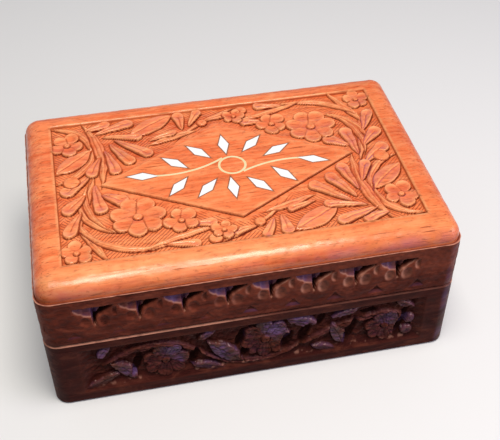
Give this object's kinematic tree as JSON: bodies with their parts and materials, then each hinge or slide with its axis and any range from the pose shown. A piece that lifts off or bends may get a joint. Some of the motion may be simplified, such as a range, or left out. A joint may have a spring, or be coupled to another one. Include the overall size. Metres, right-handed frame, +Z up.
{
  "type": "inlaid wooden box",
  "caption": "Rectangular hardwood trinket box with a hinged lid, deep leaf and flower carving, and a white and brass leaf inlay on the lid.",
  "frame": {"origin": "middle of the underside", "axes": "+X along the length, to the right seen from the front; +Y to the back, where the hinges are; +Z up"},
  "size_m": [0.1524, 0.1024, 0.061],
  "materials": {
    "board_wood": "waxed red-brown hardwood",
    "wall_wood": "waxed red-brown hardwood",
    "panel_wood": "plain planed hardwood",
    "white_inlay": "polished bone",
    "brass_inlay": "rubbed flush",
    "hinge_brass": "satin"
  },
  "bodies": {
    "base": {"base_front_wall": "wall_wood", "base_back_wall": "wall_wood", "base_left_wall": "wall_wood", "base_right_wall": "wall_wood", "base_bottom_panel": "panel_wood", "hinge_left_base_leaf": "hinge_brass", "hinge_right_base_leaf": "hinge_brass", "hinge_left_pin": "hinge_brass", "hinge_right_pin": "hinge_brass"},
    "lid": {"lid_top_board": "board_wood", "lid_front_wall": "wall_wood", "lid_back_wall": "wall_wood", "lid_left_wall": "wall_wood", "lid_right_wall": "wall_wood", "inlay_leaf_01": "white_inlay", "inlay_leaf_02": "white_inlay", "inlay_leaf_03": "white_inlay", "inlay_leaf_04": "white_inlay", "inlay_leaf_05": "white_inlay", "inlay_leaf_06": "white_inlay", "inlay_leaf_07": "white_inlay", "inlay_leaf_08": "white_inlay", "inlay_leaf_09": "white_inlay", "inlay_leaf_10": "white_inlay", "inlay_leaf_11": "white_inlay", "inlay_leaf_12": "white_inlay", "inlay_ring": "brass_inlay", "inlay_vine_left": "brass_inlay", "inlay_vine_right": "brass_inlay", "hinge_left_lid_leaf": "hinge_brass", "hinge_right_lid_leaf": "hinge_brass"}
  },
  "joints": [
    {"name": "lid_hinge", "type": "hinge", "parent": "base", "child": "lid", "pos_m": [0, 0.0499, 0.0327], "axis": [-1, 0, 0], "range_deg": [0, 104]}
  ]
}
